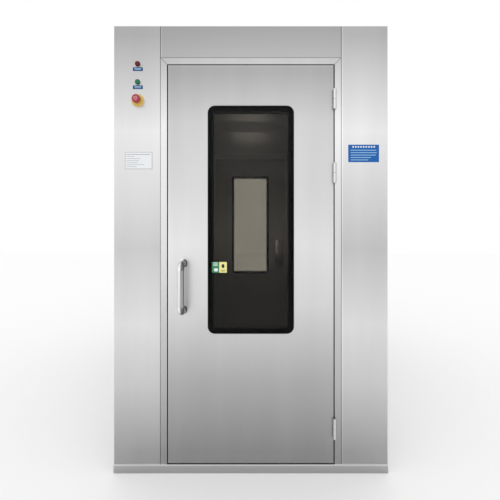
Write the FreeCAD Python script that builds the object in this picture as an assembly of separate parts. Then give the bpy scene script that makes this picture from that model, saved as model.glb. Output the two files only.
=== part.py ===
import FreeCAD, Part
import math
import os

# Walk-through air shower for a clean room: a stainless steel cabin with a glazed door front and rear,
# a fan, a filter and two rows of jet nozzles in each side column, and an electromagnet on both doors.
# Millimetres, +Z up. The origin is the middle of the footprint at floor level, and the front faces -Y.
# The rear half of the cabin is the front half turned half a revolution about Z.

V = FreeCAD.Vector
UP = V(0, 0, 1)

# Overall box
overall_width = 1300.0
overall_depth = 2000.0
overall_height = 2120.0
plinth_height = 40.0
plinth_proud = 6.0
column_width = 220.0
header_height = 150.0

# Sheet metal
sheet = 1.5
seam = 1.5
fold_depth = 20.0
corner_wrap = 30.0
fold_radius = 1.2
post_size = 25.0
post_wall = 2.0

# Door frame
frame_face = 32.0
frame_proud = 2.0
frame_depth = 82.0
frame_wall = 2.0
frame_bevel = 1.5
stop_width = 14.0
stop_setback = 56.0

# Door leaf
door_gap = 5.0
leaf_thickness = 50.0
leaf_sheet = 1.5
leaf_bevel = 0.8
window_width = 410.0
window_sill = 613.0
window_top_rail = 191.0
window_radius = 35.0
border_width = 25.0
border_radius = 14.0
pane_thickness = 5.0
glazing_gap = 0.5

# Door gasket
gasket_width = 9.0
touch_gap = 0.3

# Hinges, by the places of their middles on the leaf
low_hinge_rise = 167.0
middle_hinge_drop = 512.0
high_hinge_drop = 163.0
hinge_length = 96.0
barrel_radius = 8.0
pin_radius = 4.0
pin_clearance = 0.05
hinge_plate = 2.0
hinge_plate_depth = 40.0
barrel_gap = 0.6
pin_length = 40.0
barrel_stand = 0.5

# Pull handles
handle_inset = 73.0
handle_height = 883.0
handle_spacing = 221.0
handle_standoff = 58.0
handle_radius = 16.0
handle_bend = 26.0
handle_mitres = 3
handle_foot_radius = 20.0
handle_foot_thickness = 3.0

# Push plates inside the doors
push_width = 90.0
push_height = 300.0
push_thickness = 1.5
push_radius = 10.0

# Magnetic door lock
lock_inset = 108.0
lock_length = 180.0
lock_height = 38.0
lock_depth = 26.0
armature_thickness = 11.0
armature_inset = 6.0
armature_radius = 3.0
magnet_radius = 2.0

# Indicator lamps and emergency stop, on the left column of the front
controls_inset = 113.0
red_drop = 181.0
green_drop = 267.0
stop_drop = 354.0
panel_hole_radius = 11.2
hole_clearance = 0.2
bezel_radius = 14.5
bezel_thickness = 3.0
lens_radius = 12.0
lens_length = 11.0
lamp_body_length = 42.0
guard_radius = 30.0
guard_thickness = 4.0
collar_radius = 14.0
collar_thickness = 6.0
stem_radius = 6.0
stem_clearance = 0.08
stem_travel = 4.0
stem_tail = 30.0
head_radius = 20.0
head_length = 18.0
head_socket = 8.0
head_rest_gap = 1.0

# Cabin lining
lining_reveal = 2.0
lining = 1.5
floor_height = 20.0
floor_sheet = 2.0
tread_pitch = 40.0
tread_width = 8.0
tread_height = 1.0

# Ceiling light
light_length = 600.0
light_width = 260.0
light_height = 45.0
light_flange = 18.0
light_sheet = 1.5
light_bevel = 8.0
diffuser_thickness = 4.0

# Jet nozzles
nozzle_rows = 3
nozzle_columns = 2
nozzle_column_pitch = 760.0
low_nozzle_height = 920.0
high_nozzle_drop = 330.0
nozzle_radius = 45.0
nozzle_reach = 16.0
mouth_radius = 22.0
throat_radius = 15.0

# Air return: grille and pre-filter at the foot of each side wall
return_width = 600.0
return_height = 400.0
return_bottom = 110.0
grille_border = 25.0
grille_thickness = 3.0
slot_height = 10.0
slot_pitch = 28.0
slot_columns = 2
slot_bar = 30.0
prefilter_thickness = 20.0
prefilter_lap = 12.0
prefilter_pleats = 20
prefilter_media = 4.0

# Fan in each column, which stands clear of the pre-filter
fan_stand = 52.5
fan_drop = 225.0
impeller_radius = 120.0
impeller_width = 90.0
impeller_plate = 2.0
impeller_gap = 12.0
blade_count = 16
blade_thickness = 1.6
blade_chord = 30.0
blade_lean = 14.0
boss_radius = 18.0
boss_length = 26.0
scroll_start = 140.0
scroll_growth = 16.0
scroll_wall = 2.0
scroll_width = 124.0
outlet_rise = 50.0
inlet_radius = 90.0
motor_radius = 50.0
motor_length = 45.0
motor_end_cap = 12.0
shaft_radius = 6.0
shaft_clearance = 0.08
shaft_hole_radius = 20.0
foot_width = 40.0
deck_sheet = 2.0

# Fine filter above each fan
filter_gap = 80.0
filter_length = 610.0
filter_height = 150.0
filter_wall = 14.0

# Controller and service fittings
controller_length = 300.0
controller_width = 200.0
controller_height = 90.0
lid_height = 12.0
lid_overhang = 2.0
panel_width = 150.0
panel_height = 200.0
panel_depth = 9.0
panel_middle = 1330.0
panel_radius = 6.0
panel_bevel = 2.0
entry_inset = 170.0
entry_y = 300.0
entry_hole_radius = 16.0
entry_bore_radius = 10.0
entry_lip_radius = 20.0
entry_nut = 10.0
entry_crown = 13.0
entry_rise = 22.0
entry_collar = 12.0

# Places worked out from the sizes above
half_width = overall_width / 2
front = -overall_depth / 2
roof_under = overall_height - sheet
frame_outer = half_width - column_width
frame_inner = frame_outer - frame_face
stop_inner = frame_inner - stop_width
head_top = overall_height - header_height
head_under = head_top - frame_face
door_face = front - frame_proud
door_back = door_face + leaf_thickness
frame_back = door_face + frame_depth
stop_face = door_face + stop_setback
leaf_half = frame_inner - door_gap
leaf_bottom = plinth_height + door_gap
leaf_top = head_under - door_gap
floor_top = plinth_height + floor_height
window_bottom = leaf_bottom + window_sill
window_height = leaf_top - window_top_rail - window_bottom
head_back = guard_thickness + collar_thickness + stem_travel + head_rest_gap
hinge_x = frame_inner - door_gap / 2
hinge_y = door_face - barrel_radius - barrel_stand
hinge_heights = (leaf_bottom + low_hinge_rise, leaf_top - middle_hinge_drop, leaf_top - high_hinge_drop)
handle_x = handle_inset - leaf_half
lock_x = lock_inset - leaf_half
controls_x = controls_inset - half_width
red_height = overall_height - red_drop
green_height = overall_height - green_drop
stop_height = overall_height - stop_drop
lining_face = frame_inner + lining_reveal
lining_back = lining_face + lining
return_top = return_bottom + return_height
outlet_height = return_top + outlet_rise
filter_base = outlet_height + filter_gap
fan_height = outlet_height - fan_drop
fan_inlet = lining_back + prefilter_thickness + fan_stand
entry_x = half_width - entry_inset


def box(x0, x1, y0, y1, z0, z1):
    """A box between two corners."""
    return Part.makeBox(x1 - x0, y1 - y0, z1 - z0, V(x0, y0, z0))


def prism(points, direction):
    """A flat outline of straight edges, pushed along a direction."""
    outline = Part.makePolygon(points + [points[0]])
    return Part.Face(outline).extrude(direction)


def rounded_window(inset, radius, y0, y1):
    """An upright rounded rectangle through the door, inset from the window opening on every side."""
    half = window_width / 2 - inset
    low = window_bottom + inset
    high = window_bottom + window_height - inset
    block = box(-half, half, y0, y1, low, high)
    corners = [e for e in block.Edges if abs(e.Vertexes[0].Y - e.Vertexes[-1].Y) > 1e-6]
    return block.makeFillet(radius, corners)


def lathe(points, centre, axis):
    """A turned solid from (radius, height) points up an axis."""
    outline = Part.makePolygon([V(r, 0, h) for r, h in points + [points[0]]])
    solid = Part.Face(outline).revolve(V(), UP, 360)
    solid.Placement = FreeCAD.Placement(centre, FreeCAD.Rotation(UP, axis))
    return solid


def rear(shape):
    """The same piece on the rear half of the cabin."""
    turned = shape.copy()
    turned.rotate(V(), UP, 180)
    return turned


def mirrored(shape):
    """The same piece on the other side column."""
    return shape.mirror(V(), V(1, 0, 0))


def base_plinth():
    """Sheet channel round the footprint, with a top plate and bearers under the column walls."""
    y = -front + plinth_proud
    wall = 3.0
    flange = 30.0
    body = box(-half_width, half_width, -y, y, 0, plinth_height)
    edges = [e for e in body.Edges if min(v.Z for v in e.Vertexes) > plinth_height - 1e-6]
    body = body.makeFillet(fold_radius, edges)
    hollow = box(-half_width + wall, half_width - wall, -y + wall, y - wall, wall, plinth_height - wall)
    mouth = box(-half_width + flange, half_width - flange, -y + flange, y - flange, 0, wall)
    body = body.cut(hollow).cut(mouth)
    for x in (-frame_inner, 0.0, frame_inner):
        bearer = box(x - flange / 2, x + flange / 2, -y + wall, y - wall, 0, plinth_height - wall)
        channel = box(x - flange / 2 + wall, x + flange / 2 - wall, -y, y, 0, plinth_height - 2 * wall)
        body = body.fuse(bearer.cut(channel.common(bearer)))
    return body.removeSplitter()


def floor_tray():
    """Raised stainless floor pan with low anti-slip treads; its ends are the lower door stops."""
    reach = -stop_face
    room = -frame_back - seam
    inner = box(-lining_face, lining_face, -room, room, plinth_height, floor_top)
    sill = stop_inner - seam
    pan = inner.fuse(box(-sill, sill, -reach, reach, plinth_height, floor_top))
    core_x = lining_face - floor_sheet
    core_y = room - floor_sheet
    pan = pan.cut(box(-core_x, core_x, -core_y, core_y, plinth_height, floor_top - floor_sheet))
    rows = int(2 * (room - tread_pitch) // tread_pitch)
    for i in range(rows + 1):
        y = (i - rows / 2) * tread_pitch
        half = lining_face - tread_pitch
        top = floor_top + tread_height
        profile = [
            V(-half, y - tread_width / 2, floor_top),
            V(-half, y + tread_width / 2, floor_top),
            V(-half, y + tread_width / 4, top),
            V(-half, y - tread_width / 4, top),
        ]
        pan = pan.fuse(prism(profile, V(2 * half, 0, 0)))
    return pan.removeSplitter()


def corner_posts():
    """Square tubes in the four corners, which the outer panels are fixed to."""
    x = half_width - sheet
    y = -front - sheet
    posts = []
    for sx in (-1, 1):
        for sy in (-1, 1):
            xs = sorted((sx * x, sx * (x - post_size)))
            ys = sorted((sy * y, sy * (y - post_size)))
            tube = box(xs[0], xs[1], ys[0], ys[1], plinth_height, roof_under)
            w = post_wall
            bore = box(xs[0] + w, xs[1] - w, ys[0] + w, ys[1] - w, plinth_height, roof_under)
            posts.append(tube.cut(bore))
    return Part.makeCompound(posts)


def folded_panel(x0, x1, y0, depth0, depth1, z0, z1):
    """A front panel of bent sheet: its face at y0, with edges turned back by depth0 and depth1."""
    r = fold_radius
    low, high = x0 + sheet, x1 - sheet
    points = [(x0, y0), (x1, y0), (x1, y0 + depth1), (high, y0 + depth1)]
    points += [(high, y0 + sheet), (low, y0 + sheet), (low, y0 + depth0), (x0, y0 + depth0)]
    section = prism([V(x, y, z0) for x, y in points], V(0, 0, z1 - z0))
    bends = [
        e
        for e in section.Edges
        if abs(e.Vertexes[0].Z - e.Vertexes[-1].Z) > 1
        and abs(e.Vertexes[0].Y - y0) < 1e-6
    ]
    return section.makeFillet(r, bends)


def column_fascia():
    """Front panel of the left column, wrapped round the cabin's corner."""
    return folded_panel(
        -half_width, -frame_outer - seam / 2, front, corner_wrap, fold_depth, plinth_height, roof_under
    )


def right_column_fascia():
    return folded_panel(
        frame_outer + seam / 2, half_width, front, fold_depth, corner_wrap, plinth_height, roof_under
    )


def control_fascia():
    """The left panel of the front, with the round hole of the emergency stop."""
    place = V(controls_x, front, stop_height)
    return column_fascia().cut(Part.makeCylinder(panel_hole_radius, sheet, place, V(0, 1, 0)))


def header_fascia():
    edge = frame_outer - seam / 2
    panel = folded_panel(-edge, edge, front, fold_depth, fold_depth, head_top + seam / 2, roof_under)
    bottom_fold = box(
        -edge + sheet,
        edge - sheet,
        front + sheet / 2,
        front + fold_depth,
        head_top + seam / 2,
        head_top + seam / 2 + sheet,
    )
    return panel.fuse(bottom_fold).removeSplitter()


def side_panel():
    """Right side cladding, folded back along its two upright edges."""
    edge = -front - corner_wrap - seam / 2
    r = fold_radius
    x = half_width
    points = [(x, -edge), (x, edge), (x - fold_depth, edge), (x - fold_depth, edge - sheet)]
    points += [(x - sheet, edge - sheet), (x - sheet, -edge + sheet)]
    points += [(x - fold_depth, -edge + sheet), (x - fold_depth, -edge)]
    panel = prism([V(a, b, plinth_height) for a, b in points], V(0, 0, roof_under - plinth_height))
    bends = [
        e
        for e in panel.Edges
        if abs(e.Vertexes[0].Z - e.Vertexes[-1].Z) > 1 and abs(e.Vertexes[0].X - x) < 1e-6
    ]
    return panel.makeFillet(r, bends)


def roof_panel():
    """Flat roof sheet with a stiffening lip round its inside and the hole of the cable entry."""
    roof = box(-half_width, half_width, front, -front, roof_under, overall_height)
    lip = 18.0
    inset = post_size + 2 * sheet
    outer = box(
        -half_width + inset, half_width - inset, front + inset, -front - inset, roof_under - lip, roof_under
    )
    inner_x = half_width - inset - sheet
    inner_y = -front - inset - sheet
    ring = outer.cut(box(-inner_x, inner_x, -inner_y, inner_y, roof_under - lip, roof_under))
    hole = Part.makeCylinder(entry_hole_radius, 3 * sheet, V(entry_x, entry_y, roof_under - sheet))
    return roof.fuse(ring).cut(hole).removeSplitter()


def ceiling_panel():
    """Cabin ceiling, resting on the side linings and on both door heads."""
    y = -front - fold_depth - seam
    panel = box(-lining_back, lining_back, -y, y, head_top, head_top + lining)
    x, half = light_length / 2, light_width / 2
    return panel.cut(box(-x, x, -half, half, head_top, head_top + lining))


def nozzle_places():
    """Middles of the nozzles of the right side, in even rows and columns on the lining's face."""
    pitch = (head_top - high_nozzle_drop - low_nozzle_height) / (nozzle_rows - 1)
    first = -(nozzle_columns - 1) / 2 * nozzle_column_pitch
    return [
        V(lining_face, first + column * nozzle_column_pitch, low_nozzle_height + row * pitch)
        for column in range(nozzle_columns)
        for row in range(nozzle_rows)
    ]


def inner_wall():
    """Right lining sheet, with the nozzle holes and the air return opening."""
    y = -frame_back - seam / 2
    wall = box(lining_face, lining_back, -y, y, plinth_height, head_top)
    half = return_width / 2
    wall = wall.cut(box(lining_face, lining_back, -half, half, return_bottom, return_top))
    for place in nozzle_places():
        wall = wall.cut(Part.makeCylinder(throat_radius, lining, place, V(1, 0, 0)))
    return wall


def frame_section():
    """Hollow folded section of the right jamb: a flat face, a reveal and a door stop."""
    b = frame_bevel
    o = frame_outer - seam / 2
    outer = [(frame_inner, door_face + b), (frame_inner + b, door_face), (o - b, door_face)]
    outer += [(o, door_face + b), (o, frame_back), (stop_inner, frame_back)]
    outer += [(stop_inner, stop_face), (frame_inner, stop_face)]
    w = frame_wall
    inner = [(frame_inner + w, door_face + w), (o - w, door_face + w), (o - w, frame_back - w)]
    inner += [(stop_inner + w, frame_back - w), (stop_inner + w, stop_face + w)]
    inner += [(frame_inner + w, stop_face + w)]
    return outer, inner


def door_frame():
    """Two jambs and a head, mitred at the top corners."""
    outer, inner = frame_section()
    reach = head_top + frame_face
    jamb = prism([V(x, y, plinth_height) for x, y in outer], V(0, 0, reach))
    jamb = jamb.cut(prism([V(x, y, plinth_height) for x, y in inner], V(0, 0, reach)))
    rise = head_top - frame_outer
    span = 2 * frame_outer
    head = prism([V(-frame_outer, y, x + rise) for x, y in outer], V(span, 0, 0))
    head = head.cut(prism([V(-frame_outer, y, x + rise) for x, y in inner], V(span, 0, 0)))
    wide, narrow = frame_outer + frame_face, stop_inner - frame_face
    y0 = door_face - frame_wall
    depth = V(0, frame_depth + 2 * frame_wall, 0)
    jamb_side = [(narrow, 0), (wide, 0), (wide, wide + rise), (narrow, narrow + rise)]
    head_side = [(-wide, wide + rise), (-narrow, narrow + rise)]
    head_side += [(narrow, narrow + rise), (wide, wide + rise)]
    jamb = jamb.common(prism([V(x, y0, z) for x, z in jamb_side], depth))
    head = head.common(prism([V(x, y0, z) for x, z in head_side], depth))
    return [mirrored(jamb), head, jamb]


def door_void():
    """The room inside the leaf's sheet, clear of the window's reveal."""
    s = leaf_sheet
    room = box(
        -leaf_half + s, leaf_half - s, door_face + s, door_back - s, leaf_bottom + s, leaf_top - s
    )
    return room.cut(rounded_window(-s, window_radius + s, door_face, door_back))


def door_skin():
    """Sheet steel box of the leaf, with the window opening."""
    leaf = box(-leaf_half, leaf_half, door_face, door_back, leaf_bottom, leaf_top)
    upright = [e for e in leaf.Edges if abs(e.Vertexes[0].Z - e.Vertexes[-1].Z) > 1]
    leaf = leaf.makeChamfer(leaf_bevel, upright)
    return leaf.cut(rounded_window(0, window_radius, door_face, door_back)).cut(door_void())


def window_panes():
    """Two toughened panes, flush with both faces of the leaf."""
    radius = window_radius - glazing_gap
    outside = rounded_window(glazing_gap, radius, door_face, door_face + pane_thickness)
    inside = rounded_window(glazing_gap, radius, door_back - pane_thickness, door_back)
    return Part.makeCompound([outside, inside])


def window_border():
    """Black spacer between the panes, which shows as the border of the window."""
    y0, y1 = door_face + pane_thickness, door_back - pane_thickness
    outer = rounded_window(glazing_gap, window_radius - glazing_gap, y0, y1)
    return outer.cut(rounded_window(border_width, border_radius, y0, y1))


def handle_line():
    """Centre line of the pull handle from foot to foot, each elbow turned in equal mitres."""
    turn = math.pi / 2 / handle_mitres
    reach = handle_bend / math.cos(turn / 2)
    knee_y = door_face - handle_standoff + handle_bend
    knee_rise = handle_spacing / 2 - handle_bend
    upper = [V(handle_x, door_face, handle_height + handle_spacing / 2)]
    for i in range(handle_mitres):
        a = (i + 0.5) * turn
        rise = knee_rise + reach * math.cos(a)
        upper.append(V(handle_x, knee_y - reach * math.sin(a), handle_height + rise))
    lower = [V(p.x, p.y, 2 * handle_height - p.z) for p in upper]
    return upper + list(reversed(lower))


def beyond(point, normal):
    """The half space past a plane through a point."""
    return Part.Face(Part.Plane(point, normal)).makeHalfSpace(point + normal)


def mitred_bar(line, radius):
    """A round bar along a line of straight lengths, each cut off at the mitres at its ends."""
    ways = [(far - near).normalize() for near, far in zip(line, line[1:])]
    mitres = [ways[0]] + [a + b for a, b in zip(ways, ways[1:])] + [ways[-1]]
    lengths = []
    for i, way in enumerate(ways):
        spare = 2 * radius
        span = (line[i + 1] - line[i]).Length + 2 * spare
        bar = Part.makeCylinder(radius, span, line[i] - way * spare, way)
        bar = bar.cut(beyond(line[i + 1], mitres[i + 1])).cut(beyond(line[i], mitres[i] * -1))
        lengths.append(bar)
    return lengths[0].fuse(lengths[1:])


def pull_handle():
    """A bent tube pull on two round feet."""
    line = handle_line()
    feet = [
        Part.makeCylinder(handle_foot_radius, handle_foot_thickness, foot, V(0, -1, 0))
        for foot in (line[0], line[-1])
    ]
    return mitred_bar(line, handle_radius).fuse(feet)


def hinge_half(middle, side):
    """Half of a barrel hinge with its plate in the door gap; side is 1 on the door, -1 on the frame."""
    length = hinge_length / 2 - barrel_gap / 2
    start = V(hinge_x, hinge_y, middle + side * barrel_gap / 2)
    half = Part.makeCylinder(barrel_radius, length, start, UP * side)
    x0, x1 = sorted((hinge_x - side * door_gap / 2, hinge_x - side * (door_gap / 2 - hinge_plate)))
    z0, z1 = sorted((start.z, start.z + side * length))
    half = half.fuse(box(x0, x1, hinge_y, hinge_y + hinge_plate_depth, z0, z1))
    if side > 0:
        bore = pin_radius + pin_clearance
        return half.cut(Part.makeCylinder(bore, pin_length + touch_gap, start))
    pin = Part.makeCylinder(pin_radius, barrel_gap + pin_length, start)
    return half.fuse(pin)


def hinge_halves(side):
    """The same half of all three hinges of a door."""
    return [hinge_half(middle, side) for middle in hinge_heights]


def door_gasket():
    """Rubber strip round the door stops and the sill, which the closed leaf rests on."""
    w = gasket_width
    y0, y1 = door_back + touch_gap, stop_face
    side = stop_inner + (stop_width - w) / 2
    top = head_under - stop_width + (stop_width - w) / 2
    low = (leaf_bottom + floor_top) / 2 - w / 2
    outer = box(-side - w, side + w, y0, y1, low, top + w)
    return outer.cut(box(-side, side, y0, y1, low + w, top))


def lock_magnet():
    """Electromagnet hung under the door head, with rounded lower edges."""
    y0 = door_back + armature_thickness + touch_gap
    top = head_under - stop_width
    body = box(
        lock_x - lock_length / 2, lock_x + lock_length / 2, y0, y0 + lock_depth, top - lock_height, top
    )
    level = [e for e in body.Edges if e.BoundBox.XLength > lock_length / 2]
    lower = [e for e in level if e.BoundBox.ZMax < top - lock_height / 2]
    return body.makeFillet(magnet_radius, lower)


def lock_armature():
    """Steel plate on the leaf's inner face, which the magnet holds."""
    top = head_under - stop_width - armature_inset / 2
    low = top - lock_height + armature_inset
    half = lock_length / 2 - armature_inset
    plate = box(lock_x - half, lock_x + half, door_back, door_back + armature_thickness, low, top)
    upright = [e for e in plate.Edges if e.BoundBox.YLength > armature_thickness - 1e-6]
    return plate.makeFillet(armature_radius, upright)


def indicator_bezel(height):
    """Bezel of a panel indicator, flat on the column's panel."""
    return Part.makeCylinder(bezel_radius, bezel_thickness, V(controls_x, front, height), V(0, -1, 0))


def indicator_lens(height):
    """Coloured lens on the bezel."""
    place = V(controls_x, front - bezel_thickness, height)
    return Part.makeCylinder(lens_radius, lens_length, place, V(0, -1, 0))


def stop_guard():
    """Yellow guard disc, collar and contact block of the emergency stop, bored for its stem."""
    r, t = guard_radius, guard_thickness
    face = t + collar_thickness
    body_r = panel_hole_radius - hole_clearance
    bore = stem_radius + stem_clearance
    outline = [(bore, -lamp_body_length), (body_r, -lamp_body_length), (body_r, 0), (r, 0)]
    outline += [(r, t), (collar_radius, t), (collar_radius, face), (bore, face)]
    return lathe(outline, V(controls_x, front, stop_height), V(0, -1, 0))


def stop_stem():
    """Plunger that slides in the collar and carries the head."""
    start = guard_thickness + collar_thickness - stem_tail
    end = head_back + head_socket - touch_gap
    place = V(controls_x, front - start, stop_height)
    return Part.makeCylinder(stem_radius, end - start, place, V(0, -1, 0))


def stop_head():
    """Mushroom head with a socket for the stem."""
    tip = head_back + head_length
    bore = stem_radius + stem_clearance
    outline = [(bore, head_back), (head_radius, head_back), (head_radius, tip), (0, tip)]
    outline += [(0, head_back + head_socket), (bore, head_back + head_socket)]
    return lathe(outline, V(controls_x, front, stop_height), V(0, -1, 0))


def jet_nozzle(place):
    """Turned jet nozzle on the lining: a cone towards the cabin and a straight throat."""
    outline = [(throat_radius, 0), (nozzle_radius, 0), (mouth_radius, nozzle_reach)]
    outline += [(throat_radius, nozzle_reach)]
    return lathe(outline, place, V(-1, 0, 0))


def return_grille():
    """Louvred cover on the right lining over the air return."""
    half = return_width / 2 + grille_border
    z0, z1 = return_bottom - grille_border, return_top + grille_border
    plate = box(lining_face - grille_thickness, lining_face, -half, half, z0, z1)
    rim = [e for e in plate.Edges if abs(e.BoundBox.XMax - (lining_face - grille_thickness)) < 1e-6]
    plate = plate.makeChamfer(1.0, rim)
    rows = int((return_height - slot_pitch) // slot_pitch)
    slot_length = (return_width - slot_bar * (slot_columns + 1)) / slot_columns
    slots = []
    for column in range(slot_columns):
        y = -return_width / 2 + slot_bar + column * (slot_length + slot_bar)
        for row in range(rows):
            z = return_bottom + slot_pitch / 2 + (row + 0.5) * (return_height - slot_pitch) / rows
            low = z - slot_height / 2
            lean = grille_thickness
            outline = [
                V(lining_face - grille_thickness - 1, y, low - lean),
                V(lining_face - grille_thickness - 1, y, low - lean + slot_height),
                V(lining_face + 1, y, low + lean + slot_height),
                V(lining_face + 1, y, low + lean),
            ]
            slots.append(prism(outline, V(0, slot_length, 0)))
    return plate.cut(slots)


def prefilter():
    """Pleated pre-filter behind the grille: a zigzag of media in a frame."""
    x0 = lining_back
    x1 = x0 + prefilter_thickness
    y = return_width / 2 + prefilter_lap
    z0, z1 = return_bottom - prefilter_lap, return_top + prefilter_lap
    border = grille_border / 2
    frame = box(x0, x1, -y, y, z0, z1)
    frame = frame.cut(box(x0, x1, -y + border, y - border, z0 + border, z1 - border))
    m = prefilter_media
    span = 2 * (y - border)
    step = span / prefilter_pleats
    near = [(x0 + (0 if i % 2 else prefilter_thickness - m), i) for i in range(prefilter_pleats + 1)]
    line = [V(x, -y + border + i * step, z0 + border) for x, i in near]
    outline = line + [p + V(m, 0, 0) for p in reversed(line)]
    media = prism(outline, V(0, 0, z1 - z0 - 2 * border))
    return frame.fuse(media)


def scroll(extra, x0, x1):
    """Solid spiral of the fan casing between two planes, grown by extra, with its upright outlet."""
    turns = [math.pi / 2 * (i + 1) for i in range(4)]
    radii = [scroll_start + extra + i * scroll_growth for i in range(4)]

    def spot(radius, turn):
        return V(x0, radius * math.cos(turn), fan_height + radius * math.sin(turn))

    spots = [spot(r, a) for r, a in zip(radii, turns)]
    centre = spot(0, 0)
    edges = [Part.makeLine(spots[3], centre), Part.makeLine(centre, spots[0])]
    for i in range(3):
        middle = spot((radii[i] + radii[i + 1]) / 2, (turns[i] + turns[i + 1]) / 2)
        edges.append(Part.Arc(spots[i], middle, spots[i + 1]).toShape())
    spiral = Part.Face(Part.Wire(Part.__sortEdges__(edges))).extrude(V(x1 - x0, 0, 0))
    return spiral.fuse(box(x0, x1, -extra, radii[3], fan_height, outlet_height)).removeSplitter()


def fan_housing():
    """Spiral casing on two feet, open at its inlet and at the outlet on top."""
    w = scroll_wall
    x0, x1 = fan_inlet, fan_inlet + scroll_width
    half = scroll_start
    casing = scroll(w, x0, x1)
    for x in (x0, x1 - w):
        foot = [V(x, -half, plinth_height), V(x, half, plinth_height)]
        foot += [V(x, half / 2, fan_height), V(x, -half / 2, fan_height)]
        casing = casing.fuse(prism(foot, V(w, 0, 0)))
    for x in (x0, x1 - foot_width):
        casing = casing.fuse(box(x, x + foot_width, -half, half, plinth_height, plinth_height + w))
    casing = casing.cut(scroll(0, x0 + w, x1 - w))
    middle = V(x0, 0, fan_height)
    casing = casing.cut(Part.makeCylinder(inlet_radius, w, middle, V(1, 0, 0)))
    return casing.cut(Part.makeCylinder(shaft_hole_radius, scroll_width, middle, V(1, 0, 0)))


def fan_motor():
    """Enclosed motor on the back of the casing and bored for its shaft."""
    start = V(fan_inlet + scroll_width, 0, fan_height)
    r, n = motor_radius, motor_length
    bore = shaft_radius + shaft_clearance
    depth = n - motor_end_cap
    outline = [(bore, 0), (r, 0), (r, n), (0, n), (0, depth), (bore, depth)]
    return lathe(outline, start, V(1, 0, 0))


def impeller():
    """Bladed wheel on its shaft: a back plate, a boss and a ring of inclined blades."""
    back = fan_inlet + scroll_width - scroll_wall - impeller_gap
    depth = scroll_wall + impeller_gap
    reach = depth + motor_length - motor_end_cap - touch_gap
    p, s = impeller_plate, shaft_radius
    outline = [(0, -boss_length), (boss_radius, -boss_length), (boss_radius, -p), (impeller_radius, -p)]
    outline += [(impeller_radius, 0), (s, 0), (s, reach), (0, reach)]
    wheel = lathe(outline, V(back, 0, fan_height), V(1, 0, 0))
    root = impeller_radius - blade_chord
    tip = impeller_radius - impeller_plate
    lean = math.radians(blade_lean)
    t = blade_thickness / 2
    foot = V(0, root, 0)
    end = V(0, tip * math.cos(lean), tip * math.sin(lean))
    along = (end - foot).normalize()
    across = V(0, -along.z, along.y) * t
    outline = [foot - across, foot + across, end + across, end - across]
    start = V(back - impeller_width, 0, fan_height)
    blade = prism([start + q for q in outline], V(impeller_width - p, 0, 0))
    blades = []
    for i in range(blade_count):
        turned = blade.copy()
        turned.rotate(V(0, 0, fan_height), V(1, 0, 0), i * 360 / blade_count)
        blades.append(turned)
    return wheel.fuse(blades)


def column_deck(z):
    """Partition across a side column, between the lining and the side panel."""
    y = -frame_back - seam / 2
    x1 = half_width - sheet
    deck = box(lining_back, x1, -y, y, z, z + deck_sheet)
    wing = -front - sheet - post_size - seam
    x0 = frame_outer + seam + sheet
    return deck.fuse(box(x0, x1 - fold_depth, -wing, wing, z, z + deck_sheet)).removeSplitter()


def fan_decks():
    """The deck on the fan's outlet and the one under the filter, each with its air opening."""
    x0, x1 = fan_inlet + scroll_wall, fan_inlet + scroll_width - scroll_wall
    outlet = scroll_start + 3 * scroll_growth
    lower = column_deck(outlet_height)
    lower = lower.cut(box(x0, x1, 0, outlet, outlet_height, outlet_height + deck_sheet))
    x0, x1, y = filter_room()
    w = filter_wall
    upper = column_deck(filter_base - deck_sheet)
    window = box(x0 + w, x1 - w, -y + w, y - w, filter_base - deck_sheet, filter_base)
    return [lower, upper.cut(window)]


def filter_room():
    """Sides of the filter in the column: near x, far x and half its length."""
    return lining_back + filter_wall, half_width - sheet - filter_wall, filter_length / 2


def fine_filter():
    """Filter cell: an open frame round a block of media that stands back from both faces."""
    x0, x1, y = filter_room()
    w = filter_wall
    z0, z1 = filter_base, filter_base + filter_height
    cell = box(x0, x1, -y, y, z0, z1)
    cell = cell.cut(box(x0 + w, x1 - w, -y + w, y - w, z0, z0 + w))
    return cell.cut(box(x0 + w, x1 - w, -y + w, y - w, z1 - w, z1))


def ceiling_light():
    """Pressed light tray on top of the ceiling, open downwards, with a flange round it."""
    x, y = light_length / 2, light_width / 2
    z = head_top + lining
    s = light_sheet
    f = light_flange
    tray = box(-x - s, x + s, -y - s, y + s, z, z + light_height)
    tray = tray.makeChamfer(light_bevel + s, [e for e in tray.Edges if e.BoundBox.ZMin > z + 1])
    tray = tray.fuse(box(-x - f, x + f, -y - f, y + f, z, z + s))
    room = box(-x, x, -y, y, z, z + light_height - s)
    room = room.makeChamfer(light_bevel, [e for e in room.Edges if e.BoundBox.ZMin > z + 1])
    return tray.cut(room)


def light_diffuser():
    x, y = light_length / 2 - glazing_gap, light_width / 2 - glazing_gap
    return box(-x, x, -y, y, head_top, head_top + diffuser_thickness)


def controller_box():
    """Controller housing on the ceiling, with a lid that overhangs its body."""
    x = controller_length / 2
    y0 = light_width / 2 + controller_width / 4
    z0 = head_top + lining
    z1 = z0 + controller_height
    lid, over = lid_height, lid_overhang
    body = box(-x, x, y0, y0 + controller_width, z0, z1 - lid)
    cover = box(-x - over, x + over, y0 - over, y0 + controller_width + over, z1 - lid, z1)
    cover = cover.makeChamfer(over, [e for e in cover.Edges if e.BoundBox.ZMin > z1 - 1e-6])
    return body.fuse(cover)


def control_panel():
    """Keypad housing on the left lining, beside the rear door."""
    x = -lining_face
    y = -frame_back - panel_width
    half = panel_width / 2
    z0, z1 = panel_middle - panel_height / 2, panel_middle + panel_height / 2
    body = box(x, x + panel_depth, y - half, y + half, z0, z1)
    upright = [e for e in body.Edges if e.BoundBox.XLength > panel_depth - 1e-6]
    body = body.makeFillet(panel_radius, upright)
    rim = [e for e in body.Edges if abs(e.BoundBox.XMin - x - panel_depth) < 1e-6]
    return body.makeChamfer(panel_bevel, rim)


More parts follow.
